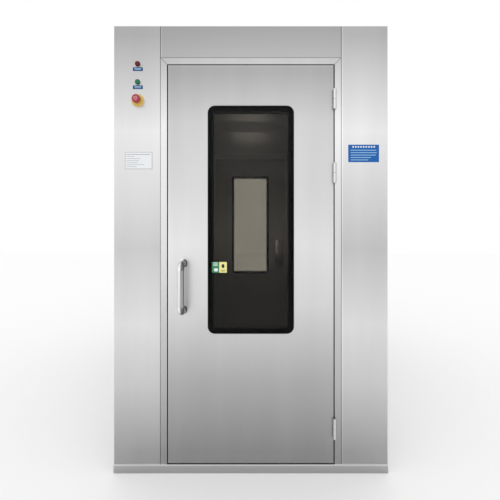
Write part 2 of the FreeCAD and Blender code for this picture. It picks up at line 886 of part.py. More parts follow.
def push_plate():
    """Flat plate on the inner face of the leaf, where it is pushed open."""
    half = push_width / 2
    z0, z1 = handle_height - push_height / 2, handle_height + push_height / 2
    plate = box(handle_x - half, handle_x + half, door_back, door_back + push_thickness, z0, z1)
    return plate.makeFillet(push_radius, [e for e in plate.Edges if e.BoundBox.YLength > 1e-6])


def cable_gland():
    """Cable entry in the roof: a hexagonal body with a collar through the sheet."""
    r = entry_bore_radius
    collar = entry_hole_radius - hole_clearance
    place = V(entry_x, entry_y, overall_height)
    turns = [math.radians(60 * i) for i in range(6)]
    corners = [place + V(entry_lip_radius * math.cos(a), entry_lip_radius * math.sin(a), 0) for a in turns]
    body = prism(corners, V(0, 0, entry_nut))
    body = body.fuse(Part.makeCylinder(collar, entry_collar, place - V(0, 0, entry_collar)))
    body = body.fuse(Part.makeCylinder(entry_crown, entry_rise, place))
    bore = Part.makeCylinder(r, entry_collar + entry_rise, place - V(0, 0, entry_collar))
    return body.cut(bore)


jets = Part.makeCompound([jet_nozzle(place) for place in nozzle_places()])
bezels = Part.makeCompound([indicator_bezel(z) for z in (red_height, green_height)])
right_wheel = impeller()


def both_sides(shape):
    """A piece of the right column together with its mirror image in the left one."""
    return Part.makeCompound([shape, mirrored(shape)])


def both_ends(shape):
    """A piece of the front together with its twin on the rear."""
    return Part.makeCompound([shape, rear(shape)])


static = {
    "base_plinth": base_plinth(),
    "floor_tray": floor_tray(),
    "corner_posts": corner_posts(),
    "side_panels": both_sides(side_panel()),
    "front_left_fascia": control_fascia(),
    "front_right_fascia": right_column_fascia(),
    "front_header_fascia": header_fascia(),
    "rear_left_fascia": rear(right_column_fascia()),
    "rear_right_fascia": rear(column_fascia()),
    "rear_header_fascia": rear(header_fascia()),
    "roof_panel": roof_panel(),
    "ceiling_panel": ceiling_panel(),
    "left_inner_wall": mirrored(inner_wall()),
    "right_inner_wall": inner_wall(),
    "return_grilles": both_sides(return_grille()),
    "prefilters": both_sides(prefilter()),
    "fan_housings": both_sides(fan_housing()),
    "fan_motors": both_sides(fan_motor()),
    "fan_decks": both_sides(Part.makeCompound(fan_decks())),
    "hepa_filters": both_sides(fine_filter()),
    "left_nozzles": mirrored(jets),
    "right_nozzles": jets,
    "ceiling_light": ceiling_light(),
    "light_diffuser": light_diffuser(),
    "controller_box": controller_box(),
    "control_panel": control_panel(),
    "indicator_bezels": both_ends(bezels),
    "red_lenses": both_ends(indicator_lens(red_height)),
    "green_lenses": both_ends(indicator_lens(green_height)),
    "stop_guard": stop_guard(),
    "stop_stem": stop_stem(),
    "stop_head": stop_head(),
    "lock_magnets": both_ends(lock_magnet()),
    "cable_gland": cable_gland(),
    "left_impeller": mirrored(right_wheel),
    "right_impeller": right_wheel,
}

# Pieces of one doorway, modelled at the front and turned round for the rear
doorway = {
    "door_frame": Part.makeCompound(door_frame()),
    "door_gasket": door_gasket(),
    "hinge_frame_halves": Part.makeCompound(hinge_halves(-1)),
    "door_leaf": door_skin(),
    "window_panes": window_panes(),
    "window_border": window_border(),
    "door_furniture": Part.makeCompound([pull_handle(), push_plate()] + hinge_halves(1)),
    "lock_armature": lock_armature(),
}

pieces = dict(static)
for name, shape in doorway.items():
    pieces["front_" + name] = shape
    pieces["rear_" + name] = rear(shape)

os.makedirs("parts", exist_ok=True)
for name, shape in pieces.items():
    shape.exportStep("parts/" + name + ".step")
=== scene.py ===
import math

import bmesh
import bpy
from mathutils import Matrix, Vector


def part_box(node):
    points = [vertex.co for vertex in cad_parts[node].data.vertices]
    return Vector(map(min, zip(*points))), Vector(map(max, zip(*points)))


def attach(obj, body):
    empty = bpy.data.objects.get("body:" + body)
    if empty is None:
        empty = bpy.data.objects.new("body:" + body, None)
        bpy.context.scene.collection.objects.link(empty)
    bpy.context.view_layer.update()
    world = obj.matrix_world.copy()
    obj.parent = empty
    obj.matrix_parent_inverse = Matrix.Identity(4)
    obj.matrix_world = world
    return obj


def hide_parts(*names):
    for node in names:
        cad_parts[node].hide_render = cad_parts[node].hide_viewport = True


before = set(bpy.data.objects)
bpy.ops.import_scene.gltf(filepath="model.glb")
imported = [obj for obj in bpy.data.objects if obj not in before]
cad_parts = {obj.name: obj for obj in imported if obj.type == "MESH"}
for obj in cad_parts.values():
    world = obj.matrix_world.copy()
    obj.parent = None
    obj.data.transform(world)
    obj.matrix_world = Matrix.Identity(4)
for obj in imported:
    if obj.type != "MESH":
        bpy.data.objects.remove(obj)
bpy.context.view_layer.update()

bl_info = {
    "name": "Air shower finish",
    "version": (1, 0, 0),
    "blender": (4, 5, 0),
    "location": "View3D > Sidebar > Air shower",
    "description": "Finished looks, fittings and studio of a clean room air shower cabin",
    "category": "Object",
}

# Sizes are in metres, in the cabin's own frame: front at -Y, floor at z = 0.
MM = 0.001


def node_middle(node):
    """Middle of a node's box."""
    low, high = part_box(node)
    return (low + high) / 2


LEAF_LO, LEAF_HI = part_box("front_door_leaf")
RIGHT_FASCIA_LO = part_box("front_right_fascia")[0]
HEADER_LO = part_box("front_header_fascia")[0]

FRONT_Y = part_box("front_left_fascia")[0].y
LEAF_Y = LEAF_LO.y
CABIN_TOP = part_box("roof_panel")[1].z
CONTROLS_X = node_middle("stop_guard").x
STOP_Z = node_middle("stop_guard").z
RED_Z = node_middle("red_lenses").z
GREEN_Z = node_middle("green_lenses").z

# Clear gap around the door leaf, and how far inside their edges the painted highlights of the sheets'
# folds lie
DOOR_GAP = 5 * MM
LEAF_GLINT_INSET = 3 * MM
FASCIA_GLINT_INSET = 4 * MM

# Pull handle: a bent tube on two feet, its middle this far in front of the door
HANDLE_X = LEAF_LO.x + 73 * MM
HANDLE_Z = 883 * MM
HANDLE_HALF = 110.5 * MM
HANDLE_OUT = 58 * MM
HANDLE_BEND = 26 * MM
HANDLE_RADIUS = 16 * MM
ELBOW_START = HANDLE_HALF - 30 * MM
ELBOW_BLEND = 8 * MM
PUSH_PLATE = Vector((90 * MM, 1.5 * MM, 300 * MM))

# Hinges: the barrels stand just proud of the door's face, their plates lie in the gap behind
HINGE_X = LEAF_HI.x + 2.5 * MM
HINGE_Y = LEAF_Y - 8.5 * MM
HINGE_RADIUS = 8 * MM
HINGE_HEIGHTS = (LEAF_LO.z + 167 * MM, LEAF_HI.z - 512 * MM, LEAF_HI.z - 163 * MM)
HINGE_SPLIT = 0.3 * MM
HINGE_HALF_LENGTH = 47.7 * MM
HINGE_PLATE_NEAR, HINGE_PLATE_FAR, HINGE_PLATE_DEPTH = 0.5 * MM, 2.5 * MM, 40 * MM

# Turned outlines, as (radius, height) in millimetres
HANDLE_FOOT = ((0, 0), (20, 0), (20, 2), (19, 3), (0, 3))
BEZEL = ((12.2, 0), (14.5, 0), (14.5, 2.0), (13.6, 3.0), (12.6, 3.0), (12.2, 2.2), (12.2, 0))
SCREW_HEAD = ((0, 0), (3.4, 0), (3.4, 0.8), (2.6, 1.7), (1.5, 2.1), (0, 2.2))
STOP_GUARD = (
    (6.1, 0), (30, 0), (30, 2.8), (28.8, 4.0), (14.8, 4.0), (14.0, 4.6), (14.0, 9.2), (13.2, 10.0),
    (6.1, 10.0), (6.1, 0),
)
STOP_TIP = 33.0
STOP_HEAD = (
    (0, 23.0), (6.1, 23.0), (6.1, 15.0), (17.0, 15.0), (19.0, 16.5), (20.0, 20.0), (20.0, 23.0),
    (19.2, 28.5), (17.4, 31.2), (14.6, 32.6), (12.0, STOP_TIP), (0, STOP_TIP),
)
NOZZLE = (
    (15, 0), (43.5, 0), (45, 1.2), (44.4, 2.6), (42.5, 3.2), (36, 3.2), (34.5, 4.2), (31, 8.6),
    (26.5, 12.8), (23.0, 15.2), (20.5, 16.0), (18.6, 15.6), (17.2, 14.2), (15.6, 11.0), (15.0, 7.5),
    (15, 0),
)
NOZZLE_RADIUS = 45 * MM
NOZZLE_ROWS = 3
GRILLE_THICKNESS = 3 * MM
SCREW_INSET = 12 * MM

# Indicator lenses, in millimetres
LENS_RADIUS, LENS_SIDE, LENS_DOME = 12.0, 6.0, 8.0

# Plates and stickers, at the places that the photograph shows
WHITE_PLATE = (-0.533, 1.481)
BLUE_PLATE = (0.536, 1.515)
GREEN_STICKER_X, YELLOW_STICKER_X, STICKER_Z = -0.1675, -0.132, 0.974
LAMP_PLATE_DROP = 23.5 * MM
PLATE_DEPTH = 0.8 * MM
FILM = 0.3 * MM

# Bodies that a piece and its twin ride on, at the front and at the rear
DOORS = ("front_door", "rear_door")
CABIN_ENDS = ("cabin", "cabin")

# Looks of the surfaces
SMOOTH_ANGLE = math.radians(35)
BUMP_DISTANCE = 0.2 * MM
MITRE_REACH = 3.2 * MM
MITRE_SHADE = 0.3
GLINT_REACH = 2.4 * MM
GLINT_SHADE = 1.3
STEEL_CAST = (1.005, 1.0, 1.007)
NO_CAST = (1.0, 1.0, 1.0)

# Sockets of a Mix node that mixes colours
MIX_FROM, MIX_TO, MIX_RESULT = 6, 7, 2

# Camera and floor, with the middle of the picture at the front face
FRAME_MIDDLE_X = -0.004
FRAME_MIDDLE_Z = 1.056
SENSOR_WIDTH = 36.0
FLOOR_HALF = 12.0
FLOOR_DROP = 1 * MM

# Soft lamps: place, aim and size
KEY_LAMP = ((0.3, -5.6, 3.6), (0, FRONT_Y, 1.1), (4.0, 3.0))
FILL_LAMP = ((-2.8, -5.2, 1.0), (0, FRONT_Y, 1.0), (3.0, 3.0))


def edges_of(verts):
    """Edges at some vertices, each once and in a steady order."""
    return list(dict.fromkeys(edge for vert in verts for edge in vert.link_edges))


def round_edges(bm, edges, radius, segments):
    """Rounds edges over with a bevel."""
    bmesh.ops.bevel(
        bm, geom=edges, offset=radius, offset_type="OFFSET", segments=segments, profile=0.5,
        affect="EDGES", material=-1,
    )


def add_block(bm, low, high, bevel=0.0):
    """Adds a box between two corners, with softened edges where a bevel is given."""
    low, high = Vector(low), Vector(high)
    size = high - low
    place = Matrix.Translation((low + high) / 2) @ Matrix.Diagonal((size.x, size.y, size.z, 1.0))
    verts = bmesh.ops.create_cube(bm, size=1.0, matrix=place)["verts"]
    if bevel:
        round_edges(bm, edges_of(verts), bevel, 2)
    return verts


def add_turned(bm, outline, centre, axis=(0, -1, 0), steps=64):
    """Adds a turned solid from (radius, height) points in millimetres, up an axis through a centre."""
    turn = Vector((0, 0, 1)).rotation_difference(Vector(axis)).to_matrix()
    centre = Vector(centre)
    verts = [bm.verts.new(centre + turn @ Vector((r * MM, 0, h * MM))) for r, h in outline]
    edges = [bm.edges.new(pair) for pair in zip(verts, verts[1:])]
    bmesh.ops.spin(
        bm, geom=verts + edges, cent=centre, axis=turn @ Vector((0, 0, 1)), dvec=(0, 0, 0),
        angle=math.tau, steps=steps, use_merge=True,
    )
    bmesh.ops.remove_doubles(bm, verts=bm.verts, dist=1e-6)


def add_outline(bm, points, depth):
    """Adds a flat outline of points in the XZ plane and gives it depth towards +Y."""
    face = bm.faces.new([bm.verts.new(point) for point in points])
    moved = bmesh.ops.extrude_face_region(bm, geom=[face], use_keep_orig=True)["geom"]
    back = [part for part in moved if isinstance(part, bmesh.types.BMVert)]
    bmesh.ops.translate(bm, vec=(0, depth, 0), verts=back)


def add_pull(bm, foot, rise, out, bend, radius, sides):
    """Adds a round tube that leaves a foot towards -Y, bends up, rises and bends back to the wall."""
    place = Matrix.Translation(foot) @ Matrix.Rotation(math.pi / 2, 4, "X")
    circle = bmesh.ops.create_circle(bm, cap_ends=True, segments=sides, radius=radius, matrix=place)
    verts = circle["verts"]
    end = verts + edges_of(verts) + list(verts[0].link_faces)
    straight = out - bend
    low = Vector(foot) + Vector((0, -straight, bend))
    high = low + Vector((0, 0, rise - 2 * bend))
    moves = (
        {"dvec": (0, -straight, 0), "steps": 1},
        {"cent": low, "angle": -math.pi / 2, "steps": 10},
        {"dvec": high - low, "steps": 1},
        {"cent": high, "angle": -math.pi / 2, "steps": 10},
        {"dvec": (0, straight, 0), "steps": 1},
    )
    for move in moves:
        end = bmesh.ops.spin(bm, geom=end, axis=(1, 0, 0), use_merge=False, **move)["geom_last"]


def add_plate(bm, centre, width, height, depth, radius):
    """Adds a rounded plate in the XZ plane, its back at the centre and its face towards -Y."""
    half = Vector((width / 2, 0, height / 2))
    centre = Vector(centre)
    verts = add_block(bm, centre - half - Vector((0, depth, 0)), centre + half)
    corners = [e for e in edges_of(verts) if abs(e.verts[0].co.y - e.verts[1].co.y) > depth / 2]
    round_edges(bm, corners, radius, 6)


def make_piece(name, bm, material, body):
    """Turns a finished bmesh into a piece that rides on a body."""
    bmesh.ops.recalc_face_normals(bm, faces=bm.faces)
    mesh = bpy.data.meshes.new(name)
    bm.to_mesh(mesh)
    bm.free()
    for polygon in mesh.polygons:
        polygon.use_smooth = True
    mesh.set_sharp_from_angle(angle=SMOOTH_ANGLE)
    mesh.materials.append(bpy.data.materials[material])
    piece = bpy.data.objects.new(name, mesh)
    bpy.context.scene.collection.objects.link(piece)
    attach(piece, body)
    return piece


def make_both_ends(name, build, material, bodies):
    """Makes a piece at the front and its twin at the rear, and returns both."""
    made = []
    for end, body in zip(("front", "rear"), bodies):
        bm = bmesh.new()
        build(bm)
        if end == "rear":
            turn = Matrix.Rotation(math.pi, 3, "Z")
            bmesh.ops.rotate(bm, cent=(0, 0, 0), matrix=turn, verts=bm.verts)
        made.append(make_piece(f"{end}_{name}", bm, material, body))
    return made


def add_bars(bm, middle, sizes, pitch, left=None):
    """Adds thin raised bars, each (width, height) in millimetres, in rows from the top down.

    The bars are centred, or start at left, in millimetres from the middle.
    """
    x, y, z = middle
    top = z + (len(sizes) - 1) / 2 * pitch * MM
    for i, (width, height) in enumerate(sizes):
        start = -width / 2 if left is None else left
        centre = top - i * pitch * MM
        low = (x + start * MM, y - 0.2 * MM, centre - height / 2 * MM)
        add_block(bm, low, (x + (start + width) * MM, y, centre + height / 2 * MM))


class Graph:
    """The nodes of a material or a group, with short calls to add and join them."""

    def __init__(self, tree):
        self.tree = tree

    def add(self, kind, **values):
        """Adds a node and sets its properties."""
        node = self.tree.nodes.new(kind)
        for name, value in values.items():
            setattr(node, name, value)
        return node

    def feed(self, socket, value):
        """Joins an output to a socket, or sets a constant straight on it."""
        if isinstance(value, bpy.types.NodeSocket):
            self.tree.links.new(value, socket)
        else:
            socket.default_value = value

    def math(self, operation, *values):
        """Adds a maths node and returns its result."""
        node = self.add("ShaderNodeMath", operation=operation)
        for socket, value in zip(node.inputs, values):
            self.feed(socket, value)
        return node.outputs[0]

    def noise(self, vector, stretch):
        """Returns noise over coordinates stretched along each axis."""
        mapping = self.add("ShaderNodeMapping")
        self.feed(mapping.inputs["Vector"], vector)
        self.feed(mapping.inputs["Scale"], stretch)
        noise = self.add("ShaderNodeTexNoise")
        self.feed(noise.inputs["Vector"], mapping.outputs[0])
        self.feed(noise.inputs["Scale"], 1.0)
        self.feed(noise.inputs["Detail"], 2.0)
        return noise.outputs["Fac"]

    def spread(self, value, low, high):
        """Maps a value of 0 to 1 onto another range."""
        node = self.add("ShaderNodeMapRange")
        for socket, number in zip(node.inputs, (value, 0.0, 1.0, low, high)):
            self.feed(socket, number)
        return node.outputs[0]

    def scale(self, colour, factor):
        """Returns a colour made lighter or darker by a factor."""
        node = self.add("ShaderNodeVectorMath", operation="SCALE")
        self.feed(node.inputs[0], colour)
        self.feed(node.inputs["Scale"], factor)
        return node.outputs[0]

    def split(self, vector):
        """Returns the node that gives a vector's X, Y and Z."""
        node = self.add("ShaderNodeSeparateXYZ")
        self.feed(node.inputs[0], vector)
        return node

    def ramp(self, value, tones, cast):
        """Returns the colour for a value, from (place, grey) tones with a slight colour cast."""
        node = self.add("ShaderNodeValToRGB")
        self.feed(node.inputs[0], value)
        stops = node.color_ramp.elements
        while len(stops) < len(tones):
            stops.new(0.5)
        for stop, (place, _) in zip(stops, tones):
            stop.position = place
        for stop, (_, grey) in zip(stops, tones):
            stop.color = (*(linear(grey) * part for part in cast), 1.0)
        return node.outputs[0]


def linear(grey):
    """Linear value of a display grey of 0 to 255."""
    value = grey / 255
    return value / 12.92 if value <= 0.04045 else ((value + 0.055) / 1.055) ** 2.4


def tint(red, green, blue):
    """Linear colour of display red, green and blue of 0 to 255."""
    return (linear(red), linear(green), linear(blue), 1.0)


def grain_group():
    """Brushed grain: fine hairlines and broad soft streaks along one axis."""
    group = bpy.data.node_groups.new("Brushed grain", "ShaderNodeTree")
    group.interface.new_socket(name="Coordinates", in_out="INPUT", socket_type="NodeSocketVector")
    for name in ("Shade", "Roughness", "Height"):
        group.interface.new_socket(name=name, in_out="OUTPUT", socket_type="NodeSocketFloat")
    graph = Graph(group)
    entry = graph.add("NodeGroupInput")
    leave = graph.add("NodeGroupOutput")
    lines = graph.noise(entry.outputs[0], (850.0, 850.0, 7.0))
    streaks = graph.noise(entry.outputs[0], (9.0, 9.0, 0.9))
    fine = graph.spread(lines, 0.955, 1.045)
    broad = graph.spread(streaks, 0.93, 1.07)
    graph.feed(leave.inputs["Shade"], graph.math("MULTIPLY", fine, broad))
    graph.feed(leave.inputs["Roughness"], graph.spread(lines, 0.34, 0.46))
    graph.feed(leave.inputs["Height"], lines)


def mottle_group():
    """Painted or moulded surface: a faint mottle for the colour, roughness and height."""
    group = bpy.data.node_groups.new("Surface mottle", "ShaderNodeTree")
    group.interface.new_socket(name="Coordinates", in_out="INPUT", socket_type="NodeSocketVector")
    group.interface.new_socket(name="Size", in_out="INPUT", socket_type="NodeSocketFloat")
    for name in ("Shade", "Height"):
        group.interface.new_socket(name=name, in_out="OUTPUT", socket_type="NodeSocketFloat")
    graph = Graph(group)
    entry = graph.add("NodeGroupInput")
    leave = graph.add("NodeGroupOutput")
    noise = graph.add("ShaderNodeTexNoise")
    graph.feed(noise.inputs["Vector"], entry.outputs["Coordinates"])
    graph.feed(noise.inputs["Scale"], entry.outputs["Size"])
    graph.feed(leave.inputs["Shade"], graph.spread(noise.outputs["Fac"], 0.94, 1.06))
    graph.feed(leave.inputs["Height"], noise.outputs["Fac"])


def new_material(name):
    """Starts a material and returns its graph, its surface and its coordinates."""
    material = bpy.data.materials.new(name)
    material.use_nodes = True
    graph = Graph(material.node_tree)
    surface = material.node_tree.nodes["Principled BSDF"]
    return graph, surface, graph.add("ShaderNodeTexCoord").outputs["Object"]


def add_bump(graph, surface, height, strength):
    """Joins a height to the surface's normal."""
    bump = graph.add("ShaderNodeBump")
    graph.feed(bump.inputs["Strength"], strength)
    graph.feed(bump.inputs["Distance"], BUMP_DISTANCE)
    graph.feed(bump.inputs["Height"], height)
    graph.feed(surface.inputs["Normal"], bump.outputs[0])


def mottled(graph, coordinates, colour, size):
    """Returns a colour with a faint mottle, and the node that the mottle comes from."""
    mottle = graph.add("ShaderNodeGroup", node_tree=bpy.data.node_groups["Surface mottle"])
    graph.feed(mottle.inputs["Coordinates"], coordinates)
    graph.feed(mottle.inputs["Size"], size)
    return graph.scale(colour[:3], mottle.outputs["Shade"]), mottle


def near_line(graph, value, place, reach):
    """Mask that is 1 where a coordinate is at a place and 0 beyond a reach from it."""
    off = graph.math("ABSOLUTE", graph.math("SUBTRACT", value, place))
    mask = graph.math("SUBTRACT", 1.0, graph.math("DIVIDE", off, reach))
    return graph.math("MAXIMUM", mask, 0.0)


def mitre_line(graph, split, corner_x, corner_z):
    """Mask of the frame's two mitred joints, which run outwards and up from its inner corners."""
    out = graph.math("SUBTRACT", graph.math("ABSOLUTE", split.outputs["X"]), corner_x)
    up = graph.math("SUBTRACT", split.outputs["Z"], corner_z)
    line = near_line(graph, graph.math("SUBTRACT", up, out), 0.0, MITRE_REACH)
    return graph.math("MULTIPLY", line, graph.math("GREATER_THAN", out, 0.0))


def brushed_steel(name, tones, along="Z", shine=1.0, glints=(), mitre=None):
    """Brushed stainless steel with painted shade and painted reflection: its grey changes with height,
    through (height, grey) stops.

    A glint is an (axis, place) where a painted highlight stands for a folded edge catching the light;
    mitre is a frame's inner corner.
    """
    graph, surface, coordinates = new_material(name)
    split = graph.split(coordinates)
    height = graph.math("DIVIDE", split.outputs["Z"], CABIN_TOP)
    # painted shade and painted reflection: the steel's grey rises and falls with height
    colour = graph.ramp(height, [(place / CABIN_TOP, grey) for place, grey in tones], STEEL_CAST)

    turned = graph.add("ShaderNodeMapping")
    graph.feed(turned.inputs["Vector"], coordinates)
    if along == "X":
        graph.feed(turned.inputs["Rotation"], (0.0, math.pi / 2, 0.0))
    grain = graph.add("ShaderNodeGroup", node_tree=bpy.data.node_groups["Brushed grain"])
    graph.feed(grain.inputs[0], turned.outputs[0])

    shade = grain.outputs["Shade"]
    # painted highlights: bright lines where folded edges would catch the light
    for axis, place in glints:
        line = near_line(graph, split.outputs[axis], place, GLINT_REACH)
        shade = graph.math("MULTIPLY", shade, graph.spread(line, 1.0, GLINT_SHADE))
    if mitre:
        line = mitre_line(graph, split, *mitre)
        shade = graph.math("MULTIPLY", shade, graph.spread(line, 1.0, MITRE_SHADE))
    graph.feed(surface.inputs["Base Color"], graph.scale(colour, shade))
    graph.feed(surface.inputs["Metallic"], 1.0)
    graph.feed(surface.inputs["Roughness"], graph.math("MULTIPLY", grain.outputs["Roughness"], shine))
    add_bump(graph, surface, grain.outputs["Height"], 0.12)


def coated(name, colour, roughness, metallic=0.0, coat=0.0, size=400.0, bump=0.1, specular=0.5):
    """Painted, moulded or plain metal surface with a faint mottle."""
    graph, surface, coordinates = new_material(name)
    shaded, mottle = mottled(graph, coordinates, colour, size)
    graph.feed(surface.inputs["Base Color"], shaded)
    graph.feed(surface.inputs["Metallic"], metallic)
    graph.feed(surface.inputs["Roughness"], graph.math("MULTIPLY", mottle.outputs["Shade"], roughness))
    graph.feed(surface.inputs["Coat Weight"], coat)
    graph.feed(surface.inputs["Specular IOR Level"], specular)
    add_bump(graph, surface, mottle.outputs["Height"], bump)


def upright_tube(name, middle_x, radius, roughness, tones, end_tones=None):
    """Bright upright tube with a painted highlight and painted shade across it, from its inner side to its
    outer side.

    The end tones, with a stronger painted highlight and shade, take over in the elbows of the pull handle.
    """
    graph, surface, coordinates = new_material(name)
    split = graph.split(coordinates)
    off = graph.math("SUBTRACT", graph.math("ABSOLUTE", split.outputs["X"]), middle_x - radius)
    across = graph.math("DIVIDE", off, 2 * radius)
    colour = graph.ramp(across, tones, NO_CAST)
    if end_tones:
        height = graph.math("ABSOLUTE", graph.math("SUBTRACT", split.outputs["Z"], HANDLE_Z))
        beyond = graph.math("DIVIDE", graph.math("SUBTRACT", height, ELBOW_START), ELBOW_BLEND)
        blend = graph.add("ShaderNodeMix", data_type="RGBA")
        graph.feed(blend.inputs["Factor"], graph.math("MINIMUM", graph.math("MAXIMUM", beyond, 0.0), 1.0))
        graph.feed(blend.inputs[MIX_FROM], colour)
        graph.feed(blend.inputs[MIX_TO], graph.ramp(across, end_tones, NO_CAST))
        colour = blend.outputs[MIX_RESULT]
    graph.feed(surface.inputs["Base Color"], colour)
    graph.feed(surface.inputs["Metallic"], 1.0)
    graph.feed(surface.inputs["Roughness"], roughness)


def clear(name, colour, index):
    """Smooth glass with a tint."""
    graph, surface, coordinates = new_material(name)
    graph.feed(surface.inputs["Base Color"], mottled(graph, coordinates, colour, 3.0)[0])
    graph.feed(surface.inputs["Metallic"], 0.0)
    graph.feed(surface.inputs["Transmission Weight"], 1.0)
    graph.feed(surface.inputs["IOR"], index)
    graph.feed(surface.inputs["Roughness"], 0.0)


# Surfaces of the frame's own nodes: material for each name, with the ends' prefixes taken off
NODE_MATERIALS = {
    "left_fascia": "Column steel",
    "right_fascia": "Column steel",
    "side_panels": "Column steel",
    "corner_posts": "Column steel",
    "header_fascia": "Header steel",
    "roof_panel": "Roof steel",
    "door_leaf": "Door steel",
    "door_frame": "Frame steel",
    "base_plinth": "Plinth steel",
    "hinge_frame_halves": "Polished steel",
    "door_furniture": "Polished steel",
    "inner_wall": "Lining steel",
    "ceiling_panel": "Lining steel",
    "floor_tray": "Floor steel",
    "return_grilles": "Lining steel",
    "nozzles": "Polished steel",
    "window_panes": "Window glass",
    "window_border": "Black border",
    "door_gasket": "Gasket rubber",
    "prefilters": "Filter media",
    "hepa_filters": "Filter media",
    "fan_housings": "Galvanised steel",
    "fan_decks": "Galvanised steel",
    "impeller": "Galvanised steel",
    "fan_motors": "Motor paint",
    "ceiling_light": "Cream paint",
    "light_diffuser": "Light diffuser",
    "controller_box": "Cream paint",
    "control_panel": "Panel plastic",
    "indicator_bezels": "Polished steel",
    "red_lenses": "Red lens",
    "green_lenses": "Green lens",
    "stop_guard": "Yellow plastic",
    "stop_stem": "Polished steel",
    "stop_head": "Red plastic",
    "lock_magnets": "Magnet housing",
    "lock_armature": "Polished steel",
    "cable_gland": "Gland metal",
}


def make_steels(tone):
    """Makes the brushed sheets, whose greys paint shade and reflection by height and which the tone
    scales, and the bright tubes with painted highlights and shade.

    Each stop is a height in metres, or on a tube a share of its width, with its display grey.
    """

    def stops(*pairs):
        return [(height, grey * tone) for height, grey in pairs]

    # painted shade and painted reflection: the greys that change with height in these stops
    column = stops((0.10, 167), (0.42, 203), (0.70, 218), (1.06, 192), (1.62, 222), (2.08, 170))
    door = stops((0.10, 153), (0.44, 178), (0.80, 212), (1.08, 220), (1.36, 204), (1.66, 192), (1.90, 160))
    frame_tones = stops((0.10, 158), (0.45, 186), (1.0, 209), (1.65, 222), (1.95, 180))
    brushed_steel("Column steel", column, glints=(("X", RIGHT_FASCIA_LO.x + FASCIA_GLINT_INSET),))
    # painted highlights along the door leaf's left and top edges and at the fascias' folds
    leaf_edge_glints = (("X", LEAF_LO.x + LEAF_GLINT_INSET), ("Z", LEAF_HI.z - LEAF_GLINT_INSET))
    brushed_steel("Door steel", door, glints=leaf_edge_glints)
    corner = (LEAF_HI.x + DOOR_GAP, LEAF_HI.z + DOOR_GAP)
    brushed_steel("Frame steel", frame_tones, shine=0.8, mitre=corner)
    header = stops((1.95, 172), (2.12, 156))
    brushed_steel("Header steel", header, along="X", glints=(("X", HEADER_LO.x + FASCIA_GLINT_INSET),))
    brushed_steel("Roof steel", stops((0.0, 190), (CABIN_TOP, 190)), along="X")
    # painted highlight: the plinth turns bright along its top ledge, darker below
    brushed_steel("Plinth steel", stops((0.0, 170), (0.030, 178), (0.036, 188), (0.0395, 240)), along="X")
    brushed_steel("Lining steel", stops((0.0, 214), (2.0, 220)))
    brushed_steel("Floor steel", stops((0.0, 190), (2.0, 190)), along="X")
    # painted highlight and painted shade: the barrel is bright on its inner side and dark on its outer
    # side
    barrel = ((0.0, 190), (0.15, 214), (0.62, 218), (0.80, 172), (1.0, 128))
    upright_tube("Hinge steel", HINGE_X, HINGE_RADIUS, 0.3, barrel)
    # painted reflection: the handle's grip is dark on its inner side with a bright stripe towards its
    # outer side, and its elbows have stronger contrast
    grip = ((0.0, 154), (0.36, 160), (0.46, 178), (0.58, 224), (0.88, 238), (1.0, 200))
    elbows = ((0.0, 112), (0.28, 112), (0.42, 138), (0.52, 236), (0.90, 250), (1.0, 190))
    upright_tube("Handle chrome", -HANDLE_X, HANDLE_RADIUS, 0.12, grip, elbows)


def make_coats(looks):
    """Makes the plain metals, paints, plastics, prints and glass."""
    coated("Polished steel", tint(196, 194, 190), 0.2, metallic=1.0, size=60.0, bump=0.03)
    coated("Galvanised steel", tint(170, 174, 178), 0.42, metallic=1.0, size=90.0)
    coated("Gland metal", tint(176, 172, 160), 0.3, metallic=1.0)
    coated("Black border", tint(7, 7, 8), 0.5, specular=0.1)
    coated("Gasket rubber", tint(20, 20, 21), 0.7)
    coated("Filter media", tint(222, 222, 214), 0.9)
    coated("Motor paint", tint(60, 66, 74), 0.45)
    coated("Cream paint", tint(214, 212, 204), 0.4)
    coated("Light diffuser", tint(226, 228, 226), 0.35)
    coated("Panel plastic", tint(54, 58, 64), 0.4)
    coated("Magnet housing", tint(150, 152, 154), 0.35, metallic=0.8)
    coated("Red lens", looks.red_lens, 0.12, specular=0.35)
    coated("Green lens", looks.green_lens, 0.12, specular=0.35)
    coated("Yellow plastic", looks.stop_guard, 0.4)
    coated("Red plastic", looks.stop_head, 0.35)
    coated("Arrow pink", tint(226, 178, 196), 0.5)
    coated("Label blue", looks.plate, 0.5, specular=0.2)
    coated("Label navy", tint(30, 66, 116), 0.5, specular=0.2)
    coated("Label white", tint(226, 229, 231), 0.45)
    coated("Label grey", tint(150, 154, 158), 0.5)
    coated("Label pale blue", tint(150, 192, 226), 0.5)
    coated("Sticker green", tint(36, 128, 86), 0.4)
    coated("Sticker yellow", tint(233, 225, 146), 0.45)
    coated("Ink black", tint(24, 24, 24), 0.5)
    clear("Window glass", tint(213, 211, 206), 1.19)
    coated("Screen glass", tint(18, 24, 30), 0.12, coat=0.6)


def own_name(node):
    """Name of a node without the end or side that it belongs to."""
    for prefix in ("front_", "rear_", "left_", "right_"):
        if node.startswith(prefix) and node[len(prefix):] in NODE_MATERIALS:
            return node[len(prefix):]
    return node


def colour_setting(name, description, default):
    """A colour that can be changed in the sidebar."""
    return bpy.props.FloatVectorProperty(
        name=name, description=description, default=default, size=4, min=0.0, max=1.0, subtype="COLOR",
    )


